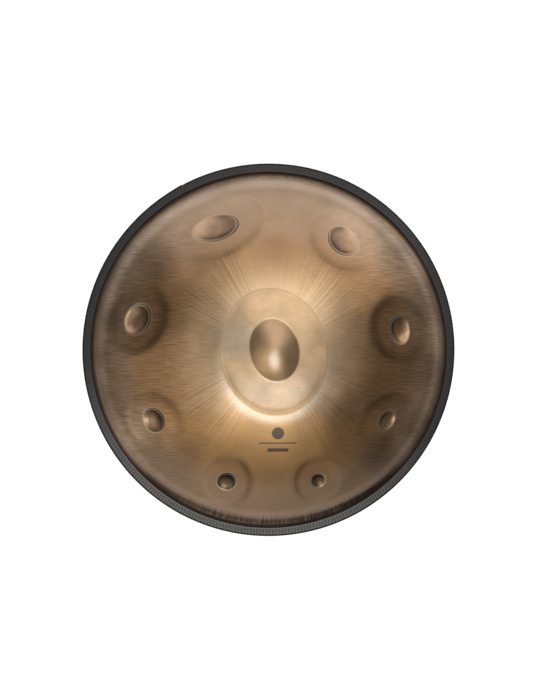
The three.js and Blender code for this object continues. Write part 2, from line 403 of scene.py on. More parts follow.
def bright_side(note, x, y):
    """In a note's bowl, about 1 on its outward side and towards the player, and -1 on the opposite side."""
    cx, cy = note.world(0, 0)
    toward = Vector((math.cos(note.angle), math.sin(note.angle) - PLAYER_LEAN))
    size = math.sqrt(note.bowl[0] * note.bowl[1])
    side = ((x - cx) * toward.x + (y - cy) * toward.y) / size
    return np.where(note.bowl_share(x, y) < BESIDE_BOWL, side, ELSEWHERE)


def keep_nearest(obj, name, distances):
    """Store on each vertex the least of the given numbers, such as its distances past the ovals' edges."""
    layer = obj.data.attributes.new(name, "FLOAT", "POINT")
    layer.data.foreach_set("value", np.minimum.reduce(distances).astype(np.float32))


def arc(x, y, radius, start, end, steps):
    """Points of an arc, both ends included."""
    a = np.linspace(start, end, steps + 1)
    return [(x + radius * math.cos(t), y + radius * math.sin(t)) for t in a]


def swept(sections, close):
    """A skin over closed sections of equally many points. An open sweep keeps open ends."""
    count, size = len(sections), len(sections[0])
    faces = []
    for i in range(count if close else count - 1):
        j = (i + 1) % count
        for k in range(size):
            m = (k + 1) % size
            faces.append((i * size + k, j * size + k, j * size + m, i * size + m))
    return [v for section in sections for v in section], faces


def lathed(name, profile, segments):
    """A closed (radius, height) profile, running anticlockwise, turned round the axis."""
    sections = []
    for i in range(segments):
        a = math.tau * i / segments
        sections.append([(r * math.cos(a), r * math.sin(a), z) for r, z in profile])
    vertices, faces = swept(sections, close=True)
    return new_mesh_object(name, vertices, faces, sharp=True)


def bottom_outline(inset):
    """One face of the bottom shell, drawn upside down, from the flange to the end of the port's neck."""
    height = bottom_face - SHEET
    stop = math.asin((height - inset - CENTRE) / (SPHERE - inset))
    lean = math.atan2(ROOT_FILLET - CENTRE, DOME_FOOT)
    bend = PORT_RADIUS + PORT_BEND
    return [
        *arc(DOME_FOOT, ROOT_FILLET, ROOT_FILLET + inset, -math.pi / 2, lean - math.pi, ARC_STEPS),
        *arc(0, CENTRE, SPHERE - inset, lean, stop, 5 * ARC_STEPS)[1:],
        *arc(bend, height - PORT_BEND, PORT_BEND - inset, math.pi / 2, math.pi, ARC_STEPS),
        (PORT_RADIUS + inset, height - PORT_NECK),
    ]


def bottom_shell():
    edge = [(flange_radius, -SHEET), (flange_radius, 0)]
    profile = edge + bottom_outline(0) + bottom_outline(SHEET)[::-1]
    turned_over = [(r, -z) for r, z in profile][::-1]
    low = bottom_face - SHEET
    return lathed("bottom_shell_spun", [(r, z + low) for r, z in turned_over], RIM_POINTS)


def flange_adhesive():
    """The cured glue line, with a rounded bead where it was squeezed out inside."""
    low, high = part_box("flange_adhesive")
    half = (high.z - low.z) / 2
    inner = GLUE_INNER + half
    profile = [
        (high.x, seam - half),
        (high.x, seam + half),
        *arc(inner, seam, half, math.pi / 2, 1.5 * math.pi, 8),
    ]
    return lathed("flange_adhesive_bead", profile, RIM_POINTS)


# ------------------------ edge trim
TRIM_CORNER = 2.0 * MM
TRIM_TIP_CORNER = 1.3 * MM
TRIM_CROWN = 0.55 * MM
RIBS = 360
RIB_STEPS = 8
RIB_DEPTH = 0.42 * MM
RIB_MARGIN = 2.0 * MM
RIB_INSET = 1.2 * MM
SIDE_DEPTH = 0.4 * MM
SIDE_INSET = 1.4 * MM
LINING = 0.7 * MM
CARRIER_ROOM = 1.1 * MM
ROOM_INSET = 1.2 * MM
JOINT_STEP = 0.6 * MM
JOINT_REACH = 14 * MM
JOINT_DROP = 0.4          # how far the other end sinks in, as a share of the step
SLOT_GAP = 0.3 * MM
SLOT_ROOM = 0.8 * MM
slot_half = top_face + SHEET - seam + SLOT_GAP
slot_end = flange_radius + SLOT_ROOM


def crown_drop(r):
    """How far the strip's crowned face has fallen at a radius."""
    middle, reach = (TRIM_RADIUS + TRIM_TIP) / 2, (TRIM_RADIUS - TRIM_TIP) / 2
    return TRIM_CROWN * ((r - middle) / reach) ** 2


def rounded(r, radius, start, end):
    """A corner of the strip, next to its crowned face, without the point that the two share."""
    height = trim_half - crown_drop(r) - radius
    points = arc(r, height, radius, start, end, 6)
    return points[:-1] if start == 0 else points[1:]


def trim_outline():
    """The strip's section as (radius, height over the seam), with the slot for the flanges."""
    quarter = math.pi / 2
    back, tip = TRIM_RADIUS - TRIM_CORNER, TRIM_TIP + TRIM_TIP_CORNER
    face = [(r, trim_half - crown_drop(r)) for r in np.linspace(back, tip, 14)]
    level = trim_half - crown_drop(back) - TRIM_CORNER
    side = [(TRIM_RADIUS, z) for z in np.linspace(-level, level, 6)[1:-1]]
    upper = [
        *rounded(back, TRIM_CORNER, 0, quarter),
        *face,
        *rounded(tip, TRIM_TIP_CORNER, quarter, math.pi),
    ]
    return [
        *[(r, -z) for r, z in upper[::-1]],
        *side,
        *upper,
        (TRIM_TIP, slot_half),
        (slot_end, slot_half),
        (slot_end, -slot_half),
        (TRIM_TIP, -slot_half),
    ]


def smooth(t):
    t = np.clip(t, 0, 1)
    return t * t * (3 - 2 * t)


def rib_cut(r, z):
    """How far a groove sinks the section at a point, as (radial, vertical) shares of its depth."""
    on_face = 1 if abs(z) > trim_half - TRIM_CORNER / 2 else 0
    inner, outer = r - TRIM_TIP - RIB_INSET, TRIM_RADIUS - RIB_INSET - r
    across = smooth(inner / RIB_MARGIN) * smooth(outer / RIB_MARGIN)
    side = smooth((r - TRIM_RADIUS) / SIDE_DEPTH + 1) * smooth((trim_half - SIDE_INSET - abs(z)) / RIB_MARGIN)
    return side, on_face * across * (1 if z > 0 else -1)


def groove(turn):
    """Depth of the ribs' grooves at an angle, from 0 on a rib to 1 in a groove."""
    phase = turn * RIBS / math.tau
    return smooth((0.5 + 0.5 * math.cos(math.tau * phase)) * 1.5 - 0.35)


def trim_shift(turn):
    """The strip's ends spring apart a little at the joint, so one stands further out than the other."""
    after = TRIM_RADIUS * turn
    before = TRIM_RADIUS * (math.tau - turn)
    return JOINT_STEP * (math.exp(-after / JOINT_REACH) - JOINT_DROP * math.exp(-before / JOINT_REACH))


def turn_at(share):
    """Angle from the middle of the joint's gap, after a share of the way round the strip."""
    gap = JOINT_GAP / TRIM_RADIUS
    return gap / 2 + (math.tau - gap) * share


def bent(points, turn):
    """Points of a strip's section as (radius, height over the seam), carried round the rim from the joint."""
    a = JOINT_ANGLE + turn
    shift = trim_shift(turn)
    return [((r + shift) * math.cos(a), (r + shift) * math.sin(a), seam + z) for r, z in points]


def channel(tip, inside_half, back, thickness):
    """A U channel's section, open towards the axis."""
    outside_half = inside_half + thickness
    outside = back + thickness
    return [
        (tip, -outside_half),
        (outside, -outside_half),
        (outside, outside_half),
        (tip, outside_half),
        (tip, inside_half),
        (back, inside_half),
        (back, -inside_half),
        (tip, -inside_half),
    ]


def edge_trim():
    """The ribbed strip, with a closed hollow inside it where the carrier sits."""
    outline = trim_outline()
    cuts = [rib_cut(r, z) for r, z in outline]
    room = channel(TRIM_TIP + ROOM_INSET, slot_half + LINING, slot_end + LINING, CARRIER_ROOM)
    steps = RIBS * RIB_STEPS
    skin, cavity, grooves = [], [], []
    for i in range(steps + 1):
        turn = turn_at(i / steps)
        sunk = groove(turn)
        depth = RIB_DEPTH * sunk
        cut = [(r - depth * out, z - depth * up) for (r, z), (out, up) in zip(outline, cuts)]
        skin.append(bent(cut, turn))
        grooves += [sunk * (out + abs(up)) for out, up in cuts]
        if i % RIB_STEPS == 0:
            cavity.append(bent(room, turn))
    vertices, faces = swept(skin, close=False)
    inner_vertices, inner_faces = swept(cavity, close=False)
    offset = len(vertices)
    vertices += inner_vertices
    faces += [tuple(offset + i for i in reversed(f)) for f in inner_faces]
    first = list(range(len(outline)))
    first_room = [offset + i for i in range(len(room))]
    faces += end_cap(outline, room, first, first_room, flip=False)
    last = [i + steps * len(outline) for i in first]
    last_room = [i + RIBS * len(room) for i in first_room]
    faces += end_cap(outline, room, last, last_room, flip=True)
    obj = new_mesh_object("edge_trim_ribbed", vertices, faces, sharp=True)
    grooves += [0] * len(inner_vertices)
    keep_nearest(obj, "groove", [grooves])
    return obj


def end_cap(outline, hole, outline_ids, hole_ids, flip):
    """Faces across an end of the strip, between its outline and the hole in it."""
    ids = outline_ids + hole_ids
    rings = [[Vector((x, y, 0)) for x, y in outline], [Vector((x, y, 0)) for x, y in hole]]
    faces = []
    for a, b, c in tessellate_polygon(rings):
        pa, pb, pc = ((outline + hole)[k] for k in (a, b, c))
        turn = (pb[0] - pa[0]) * (pc[1] - pa[1]) - (pb[1] - pa[1]) * (pc[0] - pa[0])
        face = (ids[a], ids[b], ids[c]) if turn > 0 else (ids[a], ids[c], ids[b])
        faces.append(face if not flip else face[::-1])
    return faces


# ------------------------ steel carrier inside the trim
CARRIER = 0.5 * MM
CARRIER_GAP = 0.3 * MM
CARRIER_INSET = 1.5 * MM
SLOT_SHARE = 0.45         # the part of each rib's length that is a slot between legs
LEG_BITE = 0.1 * MM       # how far a leg runs into the back


def rectangle(inner, outer, low, high):
    return [(inner, low), (outer, low), (outer, high), (inner, high)]


def trim_carrier():
    """A folded channel whose legs are slotted once a rib, joined along its back."""
    inside_half = slot_half + LINING + CARRIER_GAP
    outside_half = inside_half + CARRIER
    back = slot_end + LINING + CARRIER_GAP
    spine = rectangle(back, back + CARRIER, -outside_half, outside_half)
    strips = [[bent(spine, turn_at(i / RIBS)) for i in range(RIBS + 1)]]
    for i in range(RIBS):
        turns = [turn_at((i + share) / RIBS) for share in (SLOT_SHARE / 2, 1 - SLOT_SHARE / 2)]
        for low, high in ((inside_half, outside_half), (-outside_half, -inside_half)):
            leg = rectangle(TRIM_TIP + CARRIER_INSET, back + LEG_BITE, low, high)
            strips.append([bent(leg, turn) for turn in turns])
    vertices, faces = [], []
    for sections in strips:
        skin, quads = swept(sections, close=False)
        order = range(len(skin))
        ends = [order[:len(spine)], order[-len(spine):][::-1]]
        faces += [tuple(len(vertices) + k for k in face) for face in quads + ends]
        vertices += skin
    return new_mesh_object("trim_carrier_slotted", vertices, faces, sharp=True)


# ------------------------ shader nodes
class Nodes:
    """Short ways to add nodes to a node tree. A value may be a number, a tuple or another node's socket."""

    def __init__(self, tree):
        self.tree = tree

    def node(self, kind, inputs=None, **settings):
        made = self.tree.nodes.new(kind)
        for key, value in settings.items():
            setattr(made, key, value)
        for key, value in (inputs or {}).items():
            self.feed(made.inputs[key], value)
        return made

    def feed(self, socket, value):
        if isinstance(value, bpy.types.NodeSocket):
            self.tree.links.new(value, socket)
        else:
            socket.default_value = value

    def ramp(self, value, stops):
        """Colours at given values, blended between them."""
        made = self.node("ShaderNodeValToRGB")
        low, high = stops[0][0], stops[-1][0]
        scaled = self.node("ShaderNodeMapRange", {0: value, 1: low, 2: high}).outputs[0]
        self.feed(made.inputs[0], scaled)
        elements = made.color_ramp.elements
        while len(elements) < len(stops):
            elements.new(0.5)
        for element, (at, colour) in zip(elements, stops):
            element.position = (at - low) / (high - low)
            element.color = (*colour, 1)
        return made.outputs[0]


class Paint(Nodes):
    """A new material with one Principled shader, and short ways to add nodes in front of it. Lengths are in
    millimetres, but for the place that noise is drawn by, which is in metres."""

    def __init__(self, name, metallic, roughness):
        self.material = bpy.data.materials.new(name)
        self.material.use_nodes = True
        super().__init__(self.material.node_tree)
        self.shader = self.tree.nodes["Principled BSDF"]
        self.shader.inputs["Metallic"].default_value = metallic
        self.shader.inputs["Roughness"].default_value = roughness
        self.place = self.node("ShaderNodeTexCoord").outputs["Object"]
        self.spot = self.stretched(self.place, (1 / MM,) * 3)
        self.x, self.y, self.z = self.node("ShaderNodeSeparateXYZ", {0: self.spot}).outputs
        flat = self.stretched(self.spot, (1, 1, 0))
        self.radius = self.vector("LENGTH", flat, result="Value")
        self.around = self.vector("NORMALIZE", flat)

    def math(self, operation, a, b=0.0):
        return self.node("ShaderNodeMath", {0: a, 1: b}, operation=operation).outputs[0]

    def vector(self, operation, a, b=(0, 0, 0), result="Vector"):
        return self.node("ShaderNodeVectorMath", {0: a, 1: b}, operation=operation).outputs[result]

    def size(self, value):
        return self.math("ABSOLUTE", value)

    def add(self, *terms):
        total = terms[0]
        for term in terms[1:]:
            total = self.math("ADD", total, term)
        return total

    def times(self, *factors):
        product = factors[0]
        for factor in factors[1:]:
            product = self.math("MULTIPLY", product, factor)
        return product

    def fade(self, value, start, end, at_start=0.0, at_end=1.0):
        """A smooth step from one number to another as the value goes from start to end."""
        if start > end:
            start, end, at_start, at_end = end, start, at_end, at_start
        inputs = {0: value, 1: start, 2: end, 3: at_start, 4: at_end}
        return self.node("ShaderNodeMapRange", inputs, interpolation_type="SMOOTHSTEP").outputs[0]

    def line(self, value, middle, half):
        """1 on a line at the middle value, fading to 0 at half a width to either side."""
        off = self.size(self.math("SUBTRACT", value, middle))
        return self.fade(off, 0.0, half, 1.0, 0.0)

    def toward(self, direction):
        """1 on the side that the unit vector points to and -1 on the opposite side."""
        return self.vector("DOT_PRODUCT", self.around, direction, result="Value")

    def distance_to(self, x, y, squash=1.0):
        """Distance from an upright line, with the distance along y multiplied by a factor."""
        offset = self.stretched(self.vector("ADD", self.spot, (-x, -y, 0)), (1, squash, 0))
        return self.vector("LENGTH", offset, result="Value")

    def stored(self, name):
        """A number stored on the mesh."""
        return self.node("ShaderNodeAttribute", attribute_name=name).outputs["Fac"]

    def stretched(self, vector, scales):
        return self.vector("MULTIPLY", vector, scales)

    def noise(self, vector, scale=1.0, detail=2.0, roughness=0.5):
        """Noise centred on 0, mostly between -1 and 1."""
        inputs = {"Vector": vector, "Scale": scale, "Detail": detail, "Roughness": roughness}
        value = self.node("ShaderNodeTexNoise", inputs).outputs[0]
        return self.node("ShaderNodeMath", {0: value, 1: 4.0, 2: -2.0}, operation="MULTIPLY_ADD").outputs[0]

    def mix(self, share, a, b):
        """The first colour with a share of the second."""
        made = self.node("ShaderNodeMix", {0: share}, data_type="RGBA")
        for place, colour in ((6, a), (7, b)):
            self.feed(made.inputs[place], (*colour, 1) if isinstance(colour, tuple) else colour)
        return made.outputs[2]

    def shaded(self, colour, factor):
        """The colour made lighter or darker by a factor."""
        made = self.node("ShaderNodeVectorMath", {0: colour}, operation="SCALE")
        self.feed(made.inputs["Scale"], factor)
        return made.outputs[0]

    def finish(self, colour, roughness=None, height=None, depth=1.0):
        self.feed(self.shader.inputs["Base Color"], colour)
        if roughness is not None:
            self.feed(self.shader.inputs["Roughness"], roughness)
        if height is not None:
            bump = self.node("ShaderNodeBump", {"Height": height, "Distance": depth * MM})
            self.feed(self.shader.inputs["Normal"], bump.outputs[0])
        return self.material


# ------------------------ stage, camera and light
STUDIO_RADIUS = 8
STUDIO_BEND = 4
STUDIO_HEIGHT = 16
STUDIO_SIDES = 128


def plain_floor():
    """A round floor. Reflections show the surroundings instead of it."""
    rim = ring_points(STUDIO_RADIUS, STUDIO_SIDES, 0)
    obj = new_mesh_object("floor", [(x, y, 0) for x, y in rim], [range(STUDIO_SIDES)])
    obj.visible_glossy = False
    return obj


def backdrop():
    """A wall all round that bends up from the floor. Only the camera sees it, so it changes no light."""
    bend = arc(STUDIO_RADIUS, STUDIO_BEND, STUDIO_BEND, -math.pi / 2, 0, 2 * ARC_STEPS)
    outline = [*bend, (STUDIO_RADIUS + STUDIO_BEND, STUDIO_HEIGHT)]
    turns = np.arange(STUDIO_SIDES) * math.tau / STUDIO_SIDES
    verts = [(r * math.cos(a), r * math.sin(a), z) for a in turns for r, z in outline]
    size = len(outline)
    faces = []
    for i in range(STUDIO_SIDES):
        j = (i + 1) % STUDIO_SIDES
        faces += [(i * size + k, i * size + k + 1, j * size + k + 1, j * size + k) for k in range(size - 1)]
    obj = new_mesh_object("backdrop", verts, faces)
    for kind in ("diffuse", "glossy", "transmission", "shadow"):
        setattr(obj, "visible_" + kind, False)
    return obj


def look_at(obj, target, toward, distance, level):
    """Put a camera or a light at a distance from its target, facing it, with its own width level."""
    obj.location = target + toward * distance
    obj.rotation_euler = Matrix((level, toward.cross(level), toward)).transposed().to_euler()


CAMERA_LENS = 71.58
CAMERA_DISTANCE = 2.0
CAMERA_SIDE = (-0.0533, 0.0199, 1)      # nearly straight above, a little to the left and to the far side
CAMERA_TARGET = (0.5 * MM, 0.35 * MM, seam)


def camera():
    data = bpy.data.cameras.new("camera")
    data.sensor_fit = "VERTICAL"
    data.sensor_height = 36
    data.lens = CAMERA_LENS
    obj = new_object("camera", data)
    toward = Vector(CAMERA_SIDE).normalized()
    level = Vector((0, 1, 0)).cross(toward).normalized()
    look_at(obj, Vector(CAMERA_TARGET), toward, CAMERA_DISTANCE, level)
    bpy.context.scene.camera = obj
    return obj


LIGHT_DISTANCE = 3
# zenith and azimuth of its middle, its width and height, all in degrees as seen from the object; brightness
LIGHTS = {
    "overhead": (0, 90, 36, 36, 0.8),
    "front_box": (33, 262, 40, 26, 1.65),
    "back_box": (31, 75, 50, 26, 1.1),
    "back_wall": (67, 65, 74, 45, 0.8),
    "back_left": (67, 121, 36, 45, 0.5),
    "front_wall": (67, 252, 78, 45, 0.28),
    "left_fill": (54, 200, 40, 40, 0.4),
    "left_box": (31, 160, 30, 25, 0.1),
    "right_box": (33, 350, 30, 30, 0.13),
}


def soft_light(name, zenith, azimuth, wide, high, radiance):
    """A rectangular soft light facing the rim's middle. The camera doesn't see it."""
    width, height = (2 * LIGHT_DISTANCE * math.tan(math.radians(angle / 2)) for angle in (wide, high))
    data = bpy.data.lights.new(name, "AREA")
    data.shape = "RECTANGLE"
    data.size = width
    data.size_y = height
    data.energy = radiance * math.pi * width * height
    obj = new_object(name, data)
    z, a = math.radians(zenith), math.radians(azimuth)
    toward = Vector((math.sin(z) * math.cos(a), math.sin(z) * math.sin(a), math.cos(z)))
    level = Vector((-math.sin(a), math.cos(a), 0))
    look_at(obj, Vector((0, 0, seam)), toward, LIGHT_DISTANCE, level)
    obj.visible_camera = False
    return obj


# brightness of the surroundings by the height of the direction: 1 is straight up and -1 straight down
SURROUNDINGS = [
    (-1.0, 0.6), (-0.9, 0.6), (-0.65, 0.09), (-0.3, 0.09),
    (-0.08, 0.26), (0.08, 0.26), (0.3, 0.18), (1.0, 0.18),
]


def world():
    """Dim all round, darkest below the floor's edge and brighter straight down, where the pale floor lies."""
    made = bpy.data.worlds.new("studio")
    bpy.context.scene.world = made
    made.use_nodes = True
    tree = Nodes(made.node_tree)
    direction = tree.node("ShaderNodeTexCoord").outputs["Generated"]
    height = tree.node("ShaderNodeSeparateXYZ", {0: direction}).outputs[2]
    levels = tree.ramp(height, [(at, (level, level, level)) for at, level in SURROUNDINGS])
    tree.feed(made.node_tree.nodes["Background"].inputs["Color"], levels)


# ------------------------ materials
GOLD = (0.78, 0.53, 0.305)
WARM = (0.61, 0.385, 0.205)
BROWN = (0.465, 0.264, 0.127)
ROSE = (0.545, 0.358, 0.222)
ROSY = (0.54, 0.385, 0.28)
TAN = (0.80, 0.57, 0.40)
PALE = (1.0, 0.76, 0.58)
AMBER = (0.52, 0.295, 0.115)
SAND = (0.88, 0.60, 0.38)
BISTRE = (0.36, 0.25, 0.17)
UMBER = (0.14, 0.095, 0.062)
ROOT_SHADE = (0.035, 0.025, 0.018)
SILVER = (0.98, 0.86, 0.72)
GREY = (0.36, 0.30, 0.21)
HONEY = (0.76, 0.475, 0.225)
CHESTNUT = (0.50, 0.33, 0.22)
PRINT = (0.07, 0.068, 0.062)
GLINT = (0.82, 0.72, 0.58)
RUBBER = (0.0245, 0.0236, 0.023)
THIN_DUST = (0.056, 0.053, 0.050)
DUST_AND_LIGHT = (0.178, 0.173, 0.158)
BLACK = (0.005, 0.005, 0.005)
GLUE = (0.05, 0.035, 0.02)
GLUE_PALE = (0.09, 0.06, 0.03)
STRIP = (0.52, 0.52, 0.54)
STUDIO = (0.50, 0.50, 0.50)
STUDIO_PALE = (0.52, 0.52, 0.52)
STUDIO_GLOW = 0.85
PLAYER_SIDE = (-0.21, -0.98, 0)
FAR_SIDE = (0.35, 0.94, 0)
FLARE = (-0.87, 0.5, 0)       # the line through the axis along which the dome is lighter


def brushed(p):
    """Lines left by brushing the shell from side to side: wide ones and fine ones."""
    wide = p.noise(p.stretched(p.place, (46, 620, 0)), detail=1.0)
    fine = p.noise(p.stretched(p.place, (60, 1400, 0)), detail=1.0)
    sideways = p.size(p.x)
    lengthways = p.size(p.y)
    strength = p.times(p.fade(sideways, 50, 170, 0.12, 1.0), p.fade(lengthways, 100, 220, 1.0, 0.4))
    return p.times(wide, strength), p.times(fine, p.fade(sideways, 50, 170, 0.5, 1.0))


def radial_noise(p, turns, lengthways, detail):
    """Noise in long streaks that point away from the axis."""
    around = p.stretched(p.around, (turns, turns, 0))
    return p.noise(p.vector("ADD", around, p.stretched(p.place, (lengthways,) * 3)), 1, detail)


def fanned(p, ding_field):
    """Streaks fanning out from the middle note, in clusters towards the four corners."""
    streaks = radial_noise(p, 72, 6, 1.0)
    across, along, _ = p.node("ShaderNodeSeparateXYZ", {0: p.around}).outputs
    corner = p.size(p.times(across, along))
    clusters = p.add(p.fade(corner, 0.2, 0.46, 0.12, 0.85), p.times(p.noise(p.around, 3, 1.0), 0.35))
    reach = p.times(p.fade(ding_field, -2, 5), p.fade(p.radius, 168, 125))
    return p.times(streaks, p.math("MAXIMUM", clusters, 0.1), reach)


def note_shading(p, notes, patch, blotch, grain):
    """A factor that shows where each field ends: tooling lines and the tint along them, with painted shade
    inside the middle field's edge, strongest at the bottom, painted shade along the ring fields' inner edges,
    and painted light along the outer edges of the lower ring fields.
    """
    edge, ding = notes["ring_field"], notes["ding_field"]
    lower = p.fade(p.y, 0.0, -60)
    inward = p.fade(p.radius, 190, 155)
    outward = p.times(p.fade(p.radius, 195, 215), p.fade(p.y, 80, 0.0))
    beside = p.fade(p.size(p.y), 95, 65)
    uneven = p.fade(patch, -1.0, 0.6, 0.4, 1.0)
    between = p.times(p.fade(p.size(p.x), 58, 34), p.fade(p.y, -130, -150))
    return p.add(
        1.0,
        p.times(p.line(ding, -0.8, 1.6), -0.2),
        # painted shade inside the middle field's edge, strongest at the bottom
        p.times(p.line(ding, -5, 5), p.add(0.05, p.times(lower, 0.2)), -1.0),
        p.times(p.fade(ding, 0.0, -6), patch, 0.16),
        p.times(p.fade(notes["ring_bowl"], 0.0, -3), grain, 0.16),
        p.times(p.fade(edge, 3, -6), beside, -0.10),
        p.times(p.line(edge, -7, 17), beside, -0.17),
        # painted shade along the ring fields' inner edges
        p.times(p.line(edge, -5, 15), uneven, inward, -0.27),
        p.times(p.line(edge, -3, 8), -0.04),
        p.times(p.line(edge, -3, 10), between, -0.30),
        # painted light along the outer edges of the lower ring fields
        p.times(p.line(edge, -5, 6), uneven, outward, 0.16),
        p.times(p.line(edge, 1.0, 2.0), p.fade(blotch, -0.6, 0.8), 0.12),
    )


# painted patches of shade and light on the dome: x, y, reach, and the share of the light lost in the middle,
# or gained where it is negative
LIGHT_AND_SHADE_PATCHES = [
    (-160, 129, 44, 0.34),
    (176, 129, 36, 0.26),
    (214, -24, 42, 0.28),
    (98, -78, 30, 0.28),
    (156, -150, 44, 0.30),
    (209, -110, 34, 0.26),
    (-76, -80, 38, 0.16),
    (-112, -135, 34, 0.10),
    (118, -30, 60, 0.14),
    (-228, 44, 26, 0.30),
    (-240, -10, 26, 0.22),
    (-66, 28, 34, 0.14),
    (56, -36, 26, 0.12),
    (0, 120, 50, 0.14),
    (-201, -116, 36, -0.30),
    (68, -118, 34, -0.18),
    (243, 20, 40, -0.32),
    (211, 122, 34, -0.24),
    (118, 198, 46, -0.14),
    (82, -48, 24, -0.30),
    (60, -100, 28, -0.24),
    (-28, -108, 36, 0.13),
    (-243, -66, 30, 0.20),
    (243, -128, 26, -0.12),
    (-94, -162, 28, -0.14),
    (96, -162, 30, -0.14),
]


def painted_patches(p, blotch):
    """Painted patches of light and shade with uneven edges: light above 0, shade below 0, and 0 where there is
    none.
    """
    total = 0.0
    for x, y, reach, share in LIGHT_AND_SHADE_PATCHES:
        away = p.add(p.distance_to(x, y), p.times(blotch, 5))
        total = p.add(total, p.fade(away, 0.2 * reach, reach, -share, 0.0))
    return total


# the dome's colour by the distance from its axis; the dark stops from 249.2 mm out are painted shade at its
# root, next to the trim
DOME_COLOURS = [
    (0, GOLD), (90, GOLD), (118, WARM), (150, BROWN), (185, BROWN), (215, ROSE), (232, ROSE),
    (240, TAN), (246.6, TAN), (249.2, BISTRE), (251.6, UMBER), (254.5, ROOT_SHADE), (260, ROOT_SHADE),
]
# each further tint and its share, with the y and the distance from the axis between which it fades in
DOME_TINTS = [
    (ROSY, 0.5, (70, 170), (130, 180)),
    # painted reflection: a pale band near the rim on the far half
    (PALE, 0.75, (0, 150), (226, 241)),
    (AMBER, 0.7, (-70, -108), (190, 150)),
    (SAND, 0.3, (-120, -200), (170, 220)),
]


def dome_tint_and_painted_light(p, blotch):
    """The heat tint over the dome: gold in the middle, brown round the notes and mauve near the rim, with an
    amber patch below the middle note and sand by the player's rim. Painted over it are shade at its root next
    to the trim, a pale reflection near the rim on the far half, and patches of light and shade. It is also
    lighter along one line through the axis and darker towards the player's rim."""
    near_lift = p.times(p.fade(p.y, -150, -235), 6.2)
    far_lift = p.times(p.fade(p.y, 150, 230), 1.8)
    reach = p.add(p.radius, near_lift, far_lift, p.times(p.noise(p.around, 9, 2.0), 0.4))
    colour = p.ramp(reach, DOME_COLOURS)
    for tint, share, along, outward in DOME_TINTS:
        where = p.times(p.fade(p.y, *along), p.fade(p.radius, *outward), p.fade(reach, 247, 243))
        colour = p.mix(p.times(where, share), colour, tint)
    below = p.times(p.fade(p.y, -60, -130), p.line(p.radius, 212, 30), -0.2)
    flare = p.times(p.fade(p.size(p.toward(FLARE)), 0.8, 0.98), p.line(p.radius, 112, 35), 0.22)
    colour = p.shaded(colour, p.add(1.0, below, flare, painted_patches(p, blotch)))
    return p.mix(p.fade(blotch, -1.0, 1.0), colour, p.shaded(colour, 0.82))


def notes_tint_and_painted_light(p, notes, colour):
    """A polished edge round the middle note's field, with a painted highlight on it that grows below the note,
    and a painted sheen over the field's lower part; painted shade on the field's sides and a grey patch in it;
    on its dome a honey tone, a darker chestnut upper half, a painted highlight and painted shade; and painted
    shade in the ring notes' bowls, lighter on each bowl's bright side.
    """
    field = notes["ding_field"]
    # painted highlight round the middle field's edge, growing below it, and painted sheen over its lower part
    lower = p.fade(p.y, 15, -72, 0.12, 1.0)
    halo = p.times(p.fade(field, 0.5, 2.5), p.fade(field, 18, 2), lower)
    sheen = p.times(p.fade(field, -2, -20), p.fade(p.y, -15, -60))
    colour = p.mix(p.add(p.times(halo, 0.5), p.times(sheen, 0.3)), colour, SILVER)
    # painted shade on the middle field's left and right sides
    sides = p.times(p.fade(p.size(p.x), 22, 60), p.fade(field, 1, -8))
    colour = p.shaded(colour, p.add(1.0, p.times(sides, -0.17)))
    away = p.distance_to(-50, 17)
    cool = p.times(p.fade(away, 40, 12), p.fade(notes["ding_bowl"], 0.0, 2))
    colour = p.mix(p.times(cool, 0.7), colour, GREY)
    in_dome = p.fade(notes["ding_bowl"], 0.0, -2)
    colour = p.mix(p.times(in_dome, 0.6), colour, HONEY)
    colour = p.mix(p.times(in_dome, p.fade(p.y, -12, 10, 0.0, 0.55)), colour, CHESTNUT)
    # painted highlight on the middle dome, a little below its middle
    spot = p.fade(p.distance_to(1.5, -11, 0.6), 13, 2)
    colour = p.mix(p.times(in_dome, spot, 0.65), colour, SILVER)
    # painted shade on the middle dome's right side, its upper left and its lower edge
    shade = p.add(
        p.times(p.fade(p.x, 10, 24), 0.18),
        p.times(p.fade(p.x, -8, -24), p.fade(p.y, -12, 6), 0.22),
        p.times(p.fade(p.y, -22, -34), 0.12),
    )
    colour = p.shaded(colour, p.math("SUBTRACT", 1.0, p.times(in_dome, shade)))
    # painted shade in the ring notes' bowls: lighter on each bowl's bright side, darker on the lower notes,
    # and a little greyer
    in_bowl = p.fade(notes["ring_bowl"], 0.0, -1.5)
    level = p.times(
        p.fade(notes["ring_side"], -0.7, 0.7, 0.5, 1.3),
        p.fade(p.y, -150, -60, 0.38, 1.1),
        p.fade(p.y, 60, 140, 1.0, 0.82),
    )
    greyed = p.times(p.fade(p.y, -150, -60, 0.05, 0.25), p.fade(p.y, 60, 120, 1.0, 0.0))
    grey = p.mix(greyed, colour, GREY)
    return p.mix(in_bowl, colour, p.shaded(grey, level))


